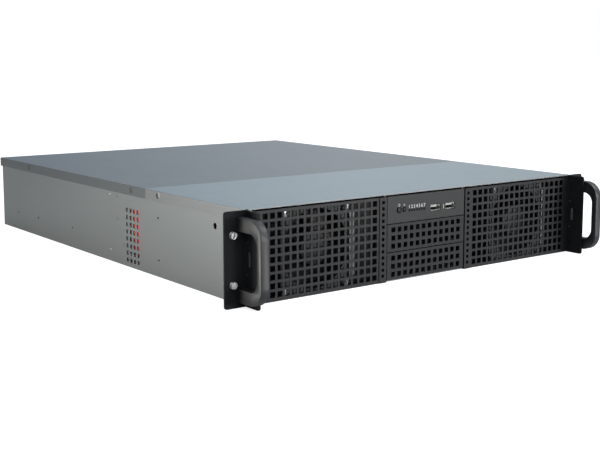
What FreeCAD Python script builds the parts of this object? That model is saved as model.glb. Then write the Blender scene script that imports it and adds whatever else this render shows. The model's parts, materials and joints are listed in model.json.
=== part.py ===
"""Two-unit rackmount server case, empty, as a parametric FreeCAD document.

Seen from the front, +X is to the right, +Y goes to the rear and +Z is up. The origin is on the
ground under the middle of the whole case. Inside the drawings Y is counted from the face of the
front panels, and every sub-part's Placement then moves it to the origin.
"""
import FreeCAD, Part
import math
import os
import re
import sys

import Sketcher

doc = FreeCAD.newDocument("RackCase")

# ---------------------------------------------------------------- driving dimensions, millimetres
SIZES = [
    ("body_width", 439.0, "over the side walls"),
    ("body_depth", 565.0, "front panels to the back of the side walls"),
    ("panel_height", 87.0, "two rack units less clearance"),
    ("lid_top", 87.4, "top face of the lids"),
    ("steel", 1.2, "sheet of the base, the panels and the brackets"),
    ("lid_steel", 1.0, "sheet of the lids"),
    ("base_front", 2.0, "where the side walls start, behind the ears"),
    ("front_plane", -265.75, "the panels' face, from the middle of the whole case"),
    ("ear_width", 482.6, "over both ears, the rack standard"),
    ("ear_plate", 2.0, "thickness of the ears"),
    ("flange_reach", 21.0, "flange in front of the panels"),
    ("leg_reach", 26.0, "ear leg inside the side wall"),
    ("rack_spacing", 466.0, "between the rack screws across, inside the rack tolerance"),
    ("rack_unit", 44.45, "between the rack screws in height"),
    ("hole_pitch", 8.08, "square holes of the vents"),
    ("hole_size", 5.5, "side of a square hole"),
    ("vent_columns", 18, "holes across one vent"),
    ("vent_rows", 10, "holes up one vent"),
    ("vent_inner", 68.6, "nearest column of a vent to the middle"),
    ("vent_low", 6.4, "lowest row of a vent"),
    ("panel_edge", 63.1, "inner edge of a vent panel"),
    ("panel_top", 84.7, "top edge of a vent panel"),
    ("strip_inner", 53.8, "inner edge of a bay strip"),
    ("strip_width", 9.1, "width of a bay strip"),
    ("strip_proud", 0.8, "how far a bay strip stands proud"),
    ("strip_pitch", 6.05, "square holes of the strips"),
    ("strip_hole", 3.2, "side of a hole in a strip"),
    ("strip_low", 7.0, "lowest hole of a strip"),
    ("bay_half", 52.6, "half the width of the bay openings"),
    ("bay_pitch", 28.2, "height from one bay to the next"),
    ("bay_low", 1.4, "underside of the lowest bay cover"),
    ("bay_gap", 0.9, "gap between two bay covers"),
    ("cover_hole_pitch", 8.1, "square holes of the bay covers"),
    ("cover_hole", 5.0, "side of a hole in a bay cover"),
    ("cage_depth", 172.0, "length of the drive cage"),
    ("seam", 180.0, "where the front lid meets the rear lid"),
    ("rear_overhang", 4.0, "rear lid past the side walls"),
    ("lid_flange", 10.6, "depth of the lids' side flanges"),
    ("fan_size", 80.0, "square fan frame"),
    ("fan_depth", 25.0, "fan frame, front to back"),
    ("fan_bore", 38.2, "radius of the fan's duct"),
    ("fan_holes", 71.5, "between the fan's fixing holes"),
    ("fan_centre", 137.2, "fan centres from the middle"),
    ("fan_front", 5.0, "front of the fans behind the panels' face"),
    ("fan_height", 42.8, "height of the fan centres"),
    ("mid_wall", 247.0, "front face of the cross wall"),
    ("holder_pitch", 102.0, "from one fan holder to the next"),
    ("holder_height", 44.0, "height of the fan holders' centres"),
    ("handle_reach", 37.5, "front of a handle before the panels"),
    ("handle_height", 76.0, "over a handle's two feet"),
    ("handle_foot", 12.3, "height of a handle's foot"),
    ("handle_bar", 6.0, "thickness of a handle's grip"),
    ("handle_width", 8.6, "width of a handle"),
    ("handle_side", 220.2, "inner side of a handle"),
    ("side_pitch_y", 7.8, "side vent holes along the wall"),
    ("side_pitch_z", 7.55, "side vent holes up the wall"),
    ("side_hole", 4.4, "side of a hole in a side vent"),
    ("board_height", 6.5, "standoffs over the floor"),
]

sheet = doc.addObject("Spreadsheet::Sheet", "Sizes")
for row, (alias, number, note) in enumerate(SIZES, start=1):
    sheet.set("A%d" % row, alias)
    sheet.set("B%d" % row, str(number))
    sheet.setAlias("B%d" % row, alias)
    sheet.set("C%d" % row, note)
doc.recompute()
ALIASES = {alias for alias, number, note in SIZES}
EVEN_GAP = -1.0  # a pattern's mark for a gap that keeps the common spacing
subparts = []


# ---------------------------------------------------------------- drawing helpers
def formula(text):
    """The text as an expression, with each size named by its cell in the sheet."""
    named = re.sub(r"[a-z][a-z_]*", lambda m: "Sizes." + m.group() if m.group() in ALIASES else m.group(),
                   str(text))
    return named


def value(text):
    """The number, in millimetres, that an expression stands for."""
    return float(sheet.evalExpression(formula(text)))


def bind(thing, name, text):
    thing.setExpression(name, formula(text))


def new_body(name):
    """One separate piece; its label is the name of its file."""
    body = doc.addObject("PartDesign::Body", name)
    body.Label = name
    bind(body, "Placement.Base.y", "front_plane")
    subparts.append(body)
    return body


def new_sketch(body, plane, offset="0"):
    """Sketch on one of the body's own planes, moved along the axis that the plane crosses."""
    sketch = body.newObject("Sketcher::SketchObject", body.Label + "_sketch")
    role = plane + "_Plane"
    origin_plane = next(item for item in body.Origin.OriginFeatures if item.Role == role)
    sketch.AttachmentSupport = [(origin_plane, "")]
    sketch.MapMode = "FlatFace"
    direction = "-1" if plane == "XZ" else "1"
    bind(sketch, "AttachmentOffset.Base.z", "%s * (%s)" % (direction, offset))
    return sketch


def fix_point(sketch, edge, point, across, up):
    """Hold a point of an edge at its two coordinates."""
    for kind, text in (("DistanceX", across), ("DistanceY", up)):
        index = sketch.addConstraint(Sketcher.Constraint(kind, -1, 1, edge, point, value(text)))
        bind(sketch, "Constraints[%d]" % index, text)


def polygon(sketch, corners):
    """Closed outline of straight edges through corners given as pairs of expressions."""
    points = [FreeCAD.Vector(value(across), value(up), 0) for across, up in corners]
    first = sketch.GeometryCount
    for start, end in zip(points, points[1:] + points[:1]):
        sketch.addGeometry(Part.LineSegment(start, end))
    for place, (across, up) in enumerate(corners):
        before = first + (place - 1) % len(corners)
        sketch.addConstraint(Sketcher.Constraint("Coincident", before, 2, first + place, 1))
        fix_point(sketch, first + place, 1, across, up)


def rectangle(sketch, left, low, right, high):
    polygon(sketch, [(left, low), (right, low), (right, high), (left, high)])


def square(sketch, across, up, side):
    """Square of the given side about a centre."""
    rectangle(sketch, "%s - %s / 2" % (across, side), "%s - %s / 2" % (up, side),
              "%s + %s / 2" % (across, side), "%s + %s / 2" % (up, side))


def ring(sketch, across, up, radius, sides):
    """Round outline, drawn with straight sides to keep its facets down."""
    turns = [2 * math.pi * step / sides for step in range(sides)]
    polygon(sketch, [("%s + %.6f * %s" % (across, math.cos(turn), radius),
                      "%s + %.6f * %s" % (up, math.sin(turn), radius)) for turn in turns])


def octagon(sketch, across, up, flat, corner):
    """Square opening with its corners cut off, given by half its width and the cut."""
    signs = [(-1, -1, 1, 0), (1, -1, -1, 0), (1, -1, 0, 1), (1, 1, 0, -1),
             (1, 1, -1, 0), (-1, 1, 1, 0), (-1, 1, 0, -1), (-1, -1, 0, 1)]
    polygon(sketch, [("%s + %d * %s + %d * %s" % (across, side, flat, shift, corner),
                      "%s + %d * %s + %d * %s" % (up, rise, flat, lift, corner))
                     for side, rise, shift, lift in signs])


def pad(body, sketch, length, reverse=False):
    """Push a drawing along its plane's normal: +Z, +X, or -Y; reverse turns it round."""
    made = body.newObject("PartDesign::Pad", body.Label + "_pad")
    made.Profile = sketch
    bind(made, "Length", length)
    made.Reversed = reverse
    return made


def cut(body, sketch, length):
    """Cut a drawing to both sides of its plane, half the length each way."""
    made = body.newObject("PartDesign::Pocket", body.Label + "_cut")
    made.Profile = sketch
    made.SideType = "Symmetric"
    bind(made, "Length", length)
    return made


def grid(body, feature, columns, across, rows, up):
    """Repeat a cut in a grid along its drawing's two axes."""
    made = body.newObject("PartDesign::LinearPattern", body.Label + "_grid")
    made.Originals = [feature]
    made.Direction = (feature.Profile[0], ["H_Axis"])
    made.Mode = "Spacing"
    bind(made, "Offset", across)
    bind(made, "Occurrences", columns)
    if rows != "1":
        made.Direction2 = (feature.Profile[0], ["V_Axis"])
        made.Mode2 = "Spacing"
        bind(made, "Offset2", up)
        bind(made, "Occurrences2", rows)
        made.Spacings2 = [EVEN_GAP] * int(value(rows) - 1)
    body.Tip = made
    return made


def edges_at(shape, test):
    """Names of the edges whose middle passes the test."""
    names = []
    for number, edge in enumerate(shape.Edges, start=1):
        if test(edge, edge.CenterOfMass):
            names.append("Edge%d" % number)
    return names


def rounded(body, base, radius, test):
    """Round the edges of the base feature that pass the test."""
    doc.recompute()
    made = body.newObject("PartDesign::Fillet", body.Label + "_round")
    made.Base = (base, edges_at(base.Shape, test))
    bind(made, "Radius", radius)
    return made


def primitive(kind, name, sizes, place):
    """A Part primitive with its sizes and place bound to expressions."""
    made = doc.addObject("Part::" + kind, name)
    for key, text in sizes.items():
        bind(made, key, text)
    for key, text in zip(("Placement.Base.x", "Placement.Base.y", "Placement.Base.z"), place):
        bind(made, key, text)
    return made


def rod(name, axis, radius, length, place, sides=0):
    """Cylinder, or a prism with a few sides, from its place towards +Y, -Y, +X or -X."""
    if sides:
        made = primitive("Prism", name, {"Circumradius": radius, "Height": length}, place)
        made.Polygon = sides
    else:
        made = primitive("Cylinder", name, {"Radius": radius, "Height": length}, place)
    turns = {"+Y": (-90, (1, 0, 0)), "-Y": (90, (1, 0, 0)), "+X": (90, (0, 1, 0)), "-X": (-90, (0, 1, 0))}
    degrees, about = turns[axis]
    made.Placement.Rotation = FreeCAD.Rotation(FreeCAD.Vector(*about), degrees)
    for key, text in zip(("Placement.Base.x", "Placement.Base.y", "Placement.Base.z"), place):
        bind(made, key, text)
    return made


def group(name, shapes):
    """Several separate solids that share one node."""
    made = doc.addObject("Part::Compound", name)
    made.Links = shapes
    made.Label = name
    bind(made, "Placement.Base.y", "front_plane")
    subparts.append(made)
    return made


def fused(name, shapes):
    """Several primitives welded into one solid inside a group."""
    made = doc.addObject("Part::MultiFuse", name)
    made.Shapes = shapes
    return made


# ---------------------------------------------------------------- the folded steel base
SIDE_HOLES = [("155.6", "60"), ("155.6", "17"), ("356.9", "23"), ("453.2", "22.5"), ("516.4", "21.7")]


def chassis_base():
    """Floor, both side walls and the inward top returns, folded from one sheet."""
    body = new_body("chassis_base")
    out = "body_width / 2"
    wall_top = "lid_top - lid_steel"
    lip = "9"
    sketch = new_sketch(body, "XZ", "base_front")
    polygon(sketch, [("-%s" % out, "0"), (out, "0"), (out, wall_top), (out + " - " + lip, wall_top),
                     (out + " - " + lip, wall_top + " - steel"), (out + " - steel", wall_top + " - steel"),
                     (out + " - steel", "steel"), ("steel - " + out, "steel"),
                     ("steel - " + out, wall_top + " - steel"), (lip + " - " + out, wall_top + " - steel"),
                     (lip + " - " + out, wall_top), ("-%s" % out, wall_top)])
    pad(body, sketch, "body_depth - base_front", reverse=True)

    for side in ("-1", "1"):
        wall = "%s * body_width / 2" % side
        vent = new_sketch(body, "YZ", wall)
        square(vent, "198.3", "7.4", "side_hole")
        grid(body, cut(body, vent, "6 * steel"), "4", "side_pitch_y", "8", "side_pitch_z")
        holes = new_sketch(body, "YZ", wall)
        ring(holes, "49.5", "66.2", "3", 12)
        for along, up in SIDE_HOLES:
            ring(holes, along, up, "1.3", 6)
        body.Tip = cut(body, holes, "6 * steel")
    return body


def rear_panel():
    """Rear wall with the openings for the board's ports, the add-in cards and the supply."""
    body = new_body("rear_panel")
    inside = "body_width / 2 - steel"
    back = "body_depth"
    sketch = new_sketch(body, "YZ", "-(%s)" % inside)
    polygon(sketch, [(back, "steel"), (back, "lid_top - lid_steel - steel"),
                     (back + " - 11", "lid_top - lid_steel - steel"),
                     (back + " - 11", "lid_top - lid_steel - 2 * steel"),
                     (back + " - steel", "lid_top - lid_steel - 2 * steel"),
                     (back + " - steel", "2 * steel"), (back + " - 11", "2 * steel"),
                     (back + " - 11", "steel")])
    pad(body, sketch, "2 * (%s)" % inside)
    ports = new_sketch(body, "XZ", back)
    rectangle(ports, "-52", "9", "106.8", "53.5")
    rectangle(ports, "114", "8", "212", "76")
    cut(body, ports, "6 * steel")
    slot = new_sketch(body, "XZ", back)
    rectangle(slot, "-199", "9", "-187", "74")
    grid(body, cut(body, slot, "6 * steel"), "7", "20.32", "1", "0")
    vent = new_sketch(body, "XZ", back)
    square(vent, "-48", "60", "6.2")
    grid(body, cut(body, vent, "6 * steel"), "14", "11.6", "2", "10.5")
    return body


def slot_covers():
    """Blank plates behind the card slots, each with a foot folded inward at the top."""
    blanks = []
    for number in range(7):
        left = "%g" % (-202.2 + number * 20.32)
        blade = primitive("Box", "slot_blade", {"Length": "18.4", "Width": "0.9", "Height": "76"},
                          (left, "body_depth - steel - 0.9", "4"))
        foot = primitive("Box", "slot_foot", {"Length": "18.4", "Width": "9", "Height": "0.9"},
                         (left, "body_depth - steel - 9.9", "79.1"))
        blanks.append(fused("slot_cover", [blade, foot]))
    return group("slot_covers", blanks)


# ---------------------------------------------------------------- black front
def vent_panel(name, side):
    """Perforated front panel with returns along its top and bottom edges."""
    body = new_body(name)
    inner = "panel_edge"
    outer = "body_width / 2 - steel - ear_plate"
    start = inner if side == "1" else "-(%s)" % outer
    sketch = new_sketch(body, "YZ", start)
    polygon(sketch, [("0", "0"), ("steel", "0"), ("steel", "steel"), ("14", "steel"), ("14", "2 * steel"),
                     ("steel", "2 * steel"), ("steel", "panel_top - steel"), ("14", "panel_top - steel"),
                     ("14", "panel_top"), ("0", "panel_top")])
    pad(body, sketch, "%s - %s" % (outer, inner))
    first = "vent_inner" if side == "1" else "-vent_inner - (vent_columns - 1) * hole_pitch"
    hole = new_sketch(body, "XZ")
    square(hole, first, "vent_low", "hole_size")
    grid(body, cut(body, hole, "3 * steel"), "vent_columns", "hole_pitch", "vent_rows", "hole_pitch")
    return body


def bay_strip(name, side):
    """Upright beside the bays: a narrow perforated face with a web along the cage wall."""
    body = new_body(name)
    near = "strip_inner"
    far = "strip_inner + strip_width"
    sketch = new_sketch(body, "XY", "0")
    corners = [(near, "-strip_proud"), (far, "-strip_proud"), (far, "steel - strip_proud"),
               (near + " + steel", "steel - strip_proud"), (near + " + steel", "24"), (near, "24")]
    polygon(sketch, [("%s * (%s)" % (side, across), along) for across, along in corners])
    pad(body, sketch, "panel_top")
    above_floor = new_sketch(body, "XY")
    rectangle(above_floor, "%s * (strip_inner - 1)" % side, "base_front",
              "%s * (strip_inner + 2 * steel)" % side, "25")
    cut(body, above_floor, "2 * steel")
    hole = new_sketch(body, "XZ", "-strip_proud")
    square(hole, "%s * (strip_inner + strip_width / 2)" % side, "strip_low", "strip_hole")
    made = cut(body, hole, "2.2 * steel")
    column = body.newObject("PartDesign::LinearPattern", name + "_column")
    column.Originals = [made]
    column.Direction = (hole, ["V_Axis"])
    column.Mode = "Spacing"
    bind(column, "Offset", "strip_pitch")
    column.Occurrences = 13
    body.Tip = column
    return body


def ear_bracket(name, side):
    """Extruded rack ear: ear plate, flange to the front and leg inside the side wall."""
    body = new_body(name)
    wall = "body_width / 2"
    corners = [("ear_width / 2", "0"), (wall, "0"), (wall, "-flange_reach"), (wall + " - 2", "-flange_reach"),
               (wall + " - 2", "0"), (wall + " - steel - ear_plate", "0"),
               (wall + " - steel - ear_plate", "leg_reach"), (wall + " - steel", "leg_reach"),
               (wall + " - steel", "base_front"), ("ear_width / 2", "base_front")]
    sketch = new_sketch(body, "XY")
    polygon(sketch, [("%s * (%s)" % (side, across), along) for across, along in corners])
    pad(body, sketch, "panel_height")
    low_leg = new_sketch(body, "XZ", "leg_reach / 2 + base_front")
    rectangle(low_leg, "%s * (%s - 6)" % (side, wall), "-1", "%s * (%s - 0.01)" % (side, wall), "steel")
    rectangle(low_leg, "%s * (%s - 6)" % (side, wall), "lid_top - lid_steel - steel",
              "%s * (%s - 0.01)" % (side, wall), "panel_height + 1")
    cut(body, low_leg, "leg_reach")
    front = new_sketch(body, "YZ", "%s * (%s - 1)" % (side, wall))
    middle = "panel_height / 2"
    rectangle(front, "-8.2", middle + " - 6.7", "-5.4", middle + " + 6.7")
    for sign in ("-", "+"):
        square(front, "-3.5", "%s %s 14.5" % (middle, sign), "1.8")
        line = "%s %s 32.7" % (middle, sign)
        rectangle(front, "-4.1", line + " - 2.5", "-2.9", line + " + 2.5")
    cut(body, front, "4")
    screw_holes = new_sketch(body, "XZ")
    for sign in ("-", "+"):
        ring(screw_holes, "%s * rack_spacing / 2" % side, "%s %s rack_unit / 2" % (middle, sign), "3.2", 12)
    drilled = cut(body, screw_holes, "3 * ear_plate")
    reach = value("ear_width / 2 - 0.1")
    front_edge = value("0.1 - flange_reach")
    body.Tip = rounded(body, drilled, "2.6", lambda edge, at: abs(edge.Length - 2.0) < 0.01
                       and (abs(at.x) > reach or at.y < front_edge) and (at.z < 0.1 or at.z > 86.9))
    return body


def handle(name, side):
    """D handle: one bar bent twice, with square section and deep feet."""
    body = new_body(name)
    start = "handle_side" if side == "1" else "-handle_side - handle_width"
    middle = "panel_height / 2"
    half = "handle_height / 2"
    sketch = new_sketch(body, "YZ", start)
    foot = "(%s - handle_foot)" % half
    grip = "handle_bar - handle_reach"
    below = middle + " - "
    above = middle + " + "
    polygon(sketch, [("0", below + half), ("0", below + foot), (grip, below + foot),
                     (grip, above + foot), ("0", above + foot), ("0", above + half),
                     ("-handle_reach", above + half), ("-handle_reach", below + half)])
    whole = pad(body, sketch, "handle_width")
    outer_front = value("1 - handle_reach")
    inner_front = value("handle_bar - handle_reach")
    outer = rounded(body, whole, "17.5", lambda edge, at: abs(edge.Length - 8.6) < 0.01
                    and at.y < outer_front)
    inner = rounded(body, outer, "11", lambda edge, at: abs(edge.Length - 8.6) < 0.01
                    and abs(at.y - inner_front) < 0.1 and abs(abs(at.z - 43.5) - 25.7) < 0.1)
    body.Tip = inner
    return body


def handle_screws():
    """Countersunk screws that hold the handles, one in each foot, from behind the ears."""
    screws = []
    for side in ("-", ""):
        for sign in ("-", "+"):
            height = "panel_height / 2 %s (handle_height / 2 - handle_foot / 2)" % sign
            place = ("%s(handle_side + 4.3)" % side, "base_front", height)
            screws.append(rod("handle_screw_head", "+Y", "3.4", "2.2", place, 12))
    return group("handle_screws", screws)


def thumb_screw(name, side, level):
    """Captive rack screw: slotted head before the ear, a thin neck through it, a shank behind."""
    height = "panel_height / 2 %s rack_unit / 2" % level
    across = "%s * rack_spacing / 2" % side
    collar = rod(name + "_collar", "-Y", "3.6", "0.8", (across, "-0.3", height), 16)
    head = rod(name + "_knob", "-Y", "3.4", "2.2", (across, "-1.1", height), 16)
    neck = rod(name + "_neck", "+Y", "2.2", "3.6", (across, "-0.3", height), 10)
    shank = rod(name + "_shank", "+Y", "2.5", "9", (across, "3", height))
    made = fused(name + "_blank", [collar, head, neck, shank])
    slot = primitive("Box", name + "_slot", {"Length": "5.6", "Width": "1.4", "Height": "1"},
                     ("%s - 2.8" % across, "-3.5", "%s - 0.5" % height))
    body = doc.addObject("Part::Cut", name)
    body.Base = made
    body.Tool = slot
    body.Label = name
    bind(body, "Placement.Base.y", "front_plane")
    subparts.append(body)
    return body


# ---------------------------------------------------------------- bays in the middle of the front
def drive_cage():
    """Steel cage: floor, two walls and outward top flanges, with slots for the drive screws."""
    body = new_body("drive_cage")
    wall = "strip_inner"
    inner = "strip_inner - steel"
    top = "lid_top - lid_steel"
    flange = "strip_inner + 8"
    sketch = new_sketch(body, "XZ", "3")
    half = [(wall, "steel"), (wall, top + " - steel"), (flange, top + " - steel"), (flange, top),
            (inner, top), (inner, "2 * steel")]
    mirrored = [("-(%s)" % across, up) for across, up in reversed(half)]
    polygon(sketch, half + mirrored)
    pad(body, sketch, "cage_depth", reverse=True)
    slot = new_sketch(body, "YZ")
    rectangle(slot, "40", "bay_low + 6", "48", "bay_low + 9.6")
    grid(body, cut(body, slot, "body_width / 2"), "3", "44", "2", "bay_pitch")
    front = new_sketch(body, "XZ", "3")
    for side in ("-", ""):
        rectangle(front, "%sstrip_inner" % side, "lid_top - 6", "%s(strip_inner + 10)" % side, "lid_top + 1")
    cut(body, front, "60")
    return body


def bay_cover(name, level):
    """Perforated blank for one drive bay, a shallow tray with side arms that clip in the cage."""
    body = new_body(name)
    low = "bay_low + %d * bay_pitch" % level
    tall = "(bay_pitch - bay_gap)"
    front = new_sketch(body, "XZ", "-0.2")
    rectangle(front, "-bay_half", low, "bay_half", "%s + %s" % (low, tall))
    pad(body, front, "2", reverse=True)
    arms = new_sketch(body, "XZ", "1.8")
    for side in ("-", ""):
        rectangle(arms, "%sbay_half" % side, low + " + 3", "%s(bay_half - 2)" % side,
                  "%s + %s - 3" % (low, tall))
    pad(body, arms, "16", reverse=True)
    hole = new_sketch(body, "XZ", "0.8")
    square(hole, "-5.5 * cover_hole_pitch", low + " + " + tall + " / 2 - cover_hole_pitch", "cover_hole")
    grid(body, cut(body, hole, "4"), "12", "cover_hole_pitch", "3", "cover_hole_pitch")
    return body


def io_panel():
    """Plain face over the bays with two sockets, two buttons and a row of small lamps."""
    body = new_body("io_panel")
    low = "bay_low + 2 * bay_pitch"
    front = new_sketch(body, "XZ", "-0.2")
    rectangle(front, "-bay_half", low, "bay_half", "panel_top")
    pad(body, front, "2", reverse=True)
    arms = new_sketch(body, "XZ", "1.8")
    for side in ("-", ""):
        rectangle(arms, "%sbay_half" % side, low + " + 3", "%s(bay_half - 2)" % side, "panel_top - 3")
    pad(body, arms, "30", reverse=True)
    holes = new_sketch(body, "XZ", "0.8")
    for across in ("12", "32.9"):
        rectangle(holes, "%s - 6.9" % across, "65.3", "%s + 6.9" % across, "72.3")
    ring(holes, "-37.4", "70.4", "2.6", 16)
    ring(holes, "-30.6", "70.4", "1.9", 16)
    for number in range(7):
        ring(holes, "%g" % (-23.8 + 3.4 * number), "69", "1", 8)
    cut(body, holes, "4")
    return body


def io_board():
    """Small circuit board behind the panel, between its arms."""
    body = new_body("io_board")
    sketch = new_sketch(body, "XY", "62.6")
    rectangle(sketch, "2 - bay_half", "5", "bay_half - 2", "30")
    pad(body, sketch, "1.6")
    return body


def usb_socket(name, across):
    """Folded metal shell of a USB socket, open to the front, with its tongue inside."""
    body = new_body(name)
    front = new_sketch(body, "XZ", "0.6")
    rectangle(front, "%s - 6.6" % across, "65.9", "%s + 6.6" % across, "71.7")
    pad(body, front, "13.4", reverse=True)
    mouth = new_sketch(body, "XZ", "0.6")
    rectangle(mouth, "%s - 6.2" % across, "66.3", "%s + 6.2" % across, "71.3")
    cut(body, mouth, "24")
    foot = new_sketch(body, "XZ", "3")
    rectangle(foot, "%s - 4" % across, "64.2", "%s + 4" % across, "65.9")
    pad(body, foot, "9", reverse=True)
    return body


def usb_tongues():
    """Contact tongues, one in each socket, held by the back of the shell."""
    tongues = [primitive("Box", "tongue", {"Length": "10.4", "Width": "9.6", "Height": "1.8"},
                         ("%s - 5.2" % across, "3", "69")) for across in ("12", "32.9")]
    return group("usb_tongues", tongues)


def lamp_pipes():
    """Clear light pipes in the small holes of the panel, standing on the board."""
    pipes = [rod("lamp_pipe", "+Y", "0.9", "6.4", ("%g" % (-23.8 + 3.4 * number), "-0.1", "69"), 8)
             for number in range(7)]
    foot = primitive("Box", "lamp_bar", {"Length": "24", "Width": "2", "Height": "6.4"},
                     ("-25.6", "6.2", "64.2"))
    return group("lamp_pipes", [fused("lamp_block", pipes + [foot])])


def button(name, across, radius):
    """Round push button whose stem runs back to its switch."""
    cap = rod(name + "_cap", "+Y", radius, "3.5", (across, "-1", "70.4"), 16)
    collar = rod(name + "_collar", "+Y", "%s + 0.6" % radius, "1", (across, "2.1", "70.4"), 12)
    stem = rod(name + "_stem", "+Y", "1", "5.4", (across, "2.9", "70.4"), 8)
    made = doc.addObject("Part::MultiFuse", name)
    made.Shapes = [cap, collar, stem]
    made.Label = name
    bind(made, "Placement.Base.y", "front_plane")
    subparts.append(made)
    return made


def button_switches():
    """Tact switches on the board behind the two buttons."""
    switches = [primitive("Box", "switch", {"Length": "6", "Width": "6", "Height": "8.6"},
                          ("%s - 3" % across, "9.6", "64.2")) for across in ("-37.6", "-30.4")]
    return group("button_switches", switches)


# ---------------------------------------------------------------- fans behind the vents
def place_at(body, across, along, up):
    """Move a piece that is drawn about its own axis to where it sits."""
    for axis, text in (("x", across), ("y", "front_plane + %s" % along), ("z", up)):
        bind(body, "Placement.Base." + axis, text)


def fan_frame(name, across):
    """Square fan frame with a round duct, a motor plate on four arms and four corner holes."""
    body = new_body(name)
    place_at(body, across, "fan_front", "fan_height")
    front = new_sketch(body, "XZ")
    square(front, "0", "0", "fan_size")
    pad(body, front, "fan_depth", reverse=True)
    openings = new_sketch(body, "XZ")
    ring(openings, "0", "0", "fan_bore", 36)
    for side in ("-", ""):
        for rise in ("-", ""):
            ring(openings, "%sfan_holes / 2" % side, "%sfan_holes / 2" % rise, "2.2", 8)
    cut(body, openings, "3 * fan_depth")
    plate = new_sketch(body, "XZ", "fan_depth - 3")
    ring(plate, "0", "0", "15", 24)
    pad(body, plate, "3", reverse=True)
    for half_width, half_height in (("fan_bore + 0.5", "2"), ("2", "fan_bore + 0.5")):
        arms = new_sketch(body, "XZ", "fan_depth - 3")
        rectangle(arms, "-(%s)" % half_width, "-(%s)" % half_height, half_width, half_height)
        pad(body, arms, "3", reverse=True)
    return body


def fan_rotor(name, across):
    """Hub with seven blades, each set at an angle to the air and reaching near the duct."""
    body = new_body(name)
    place_at(body, across, "fan_front", "fan_height")
    hub = new_sketch(body, "XZ", "1")
    ring(hub, "0", "0", "16.5", 24)
    pad(body, hub, "19.5", reverse=True)
    section = new_sketch(body, "XY", "14")
    polygon(section, [("-7.5", "4.4"), ("-6.9", "3.6"), ("7.5", "17.6"), ("6.9", "18.4")])
    blade = pad(body, section, "fan_bore - 16.2")
    blades = body.newObject("PartDesign::PolarPattern", name + "_blades")
    blades.Originals = [blade]
    blades.Axis = (hub, ["N_Axis"])
    blades.Angle = 360
    blades.Occurrences = 7
    body.Tip = blades
    return body


def fan_bracket(name, across):
    """Steel plate behind a fan, with a foot on the floor and a side that turns out at the front."""
    body = new_body(name)
    place_at(body, across, "0", "0")
    back = "fan_front + fan_depth"
    side = "fan_size / 2"
    plan = new_sketch(body, "XY", "2 * steel")
    polygon(plan, [("-%s" % side, back), (side, back), (side, "3.4"), (side + " + 7.5", "3.4"),
                   (side + " + 7.5", "3.4 + steel"), (side + " + steel", "3.4 + steel"),
                   (side + " + steel", back + " + steel"), ("-%s" % side, back + " + steel")])
    pad(body, plan, "fan_height + fan_size / 2 - 2 * steel")
    foot = new_sketch(body, "XZ", back)
    rectangle(foot, "-30", "steel", "30", "2 * steel")
    pad(body, foot, "14", reverse=True)
    window = new_sketch(body, "XZ", back)
    octagon(window, "0", "fan_height", "38", "13")
    cut(body, window, "8 * steel")
    holes = new_sketch(body, "XZ", back)
    for turn in ("-", ""):
        for rise in ("-", "+"):
            ring(holes, "%sfan_holes / 2" % turn, "fan_height %s fan_holes / 2" % rise, "2.2", 8)
    cut(body, holes, "8 * steel")
    edge = new_sketch(body, "YZ", side)
    rectangle(edge, "3", "0", "%s - 2" % back, "12")
    rectangle(edge, "3", "74", "%s - 2" % back, "90")
    cut(body, edge, "20")
    return body


def fan_screws(name, across):
    """Four long screws through the corners of a fan into its bracket."""
    screws = []
    for side in ("-", "+"):
        for rise in ("-", "+"):
            place = ("%s %s fan_holes / 2" % (across, side), "fan_front",
                     "fan_height %s fan_holes / 2" % rise)
            head = rod("fan_screw_head", "-Y", "4.3", "2.4", place, 8)
            shank = rod("fan_screw_shank", "+Y", "1.95", "fan_depth + 2 * steel", place, 6)
            screws.append(fused("fan_screw", [head, shank]))
    return group(name, screws)


# ---------------------------------------------------------------- inside the case
def mid_wall():
    """Cross wall with four air windows and ears turned forward along the side walls."""
    body = new_body("mid_wall")
    inside = "body_width / 2 - steel"
    plan = new_sketch(body, "XY", "2 * steel")
    back = "mid_wall + steel"
    polygon(plan, [("-(%s)" % inside, "mid_wall - 27"), ("steel - (%s)" % inside, "mid_wall - 27"),
                   ("steel - (%s)" % inside, "mid_wall"), (inside + " - steel", "mid_wall"),
                   (inside + " - steel", "mid_wall - 27"), (inside, "mid_wall - 27"),
                   (inside, back), ("-(%s)" % inside, back)])
    pad(body, plan, "lid_top - lid_steel - 5 * steel")
    foot = new_sketch(body, "XZ", "mid_wall")
    rectangle(foot, "-190", "steel", "190", "2 * steel")
    pad(body, foot, "14", reverse=True)
    trim = new_sketch(body, "XZ", "mid_wall - 14")
    for turn in ("-", ""):
        rectangle(trim, "%s(%s + 1)" % (turn, inside), "1", "%s(%s - 4)" % (turn, inside), "17")
        rectangle(trim, "%s(%s + 1)" % (turn, inside), "60", "%s(%s - 4)" % (turn, inside), "90")
    cut(body, trim, "27")
    windows = new_sketch(body, "XZ", "mid_wall")
    for number in range(4):
        octagon(windows, "(%g * holder_pitch)" % (number - 1.5), "holder_height", "36", "11")
    cut(body, windows, "8 * steel")
    return body


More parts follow.
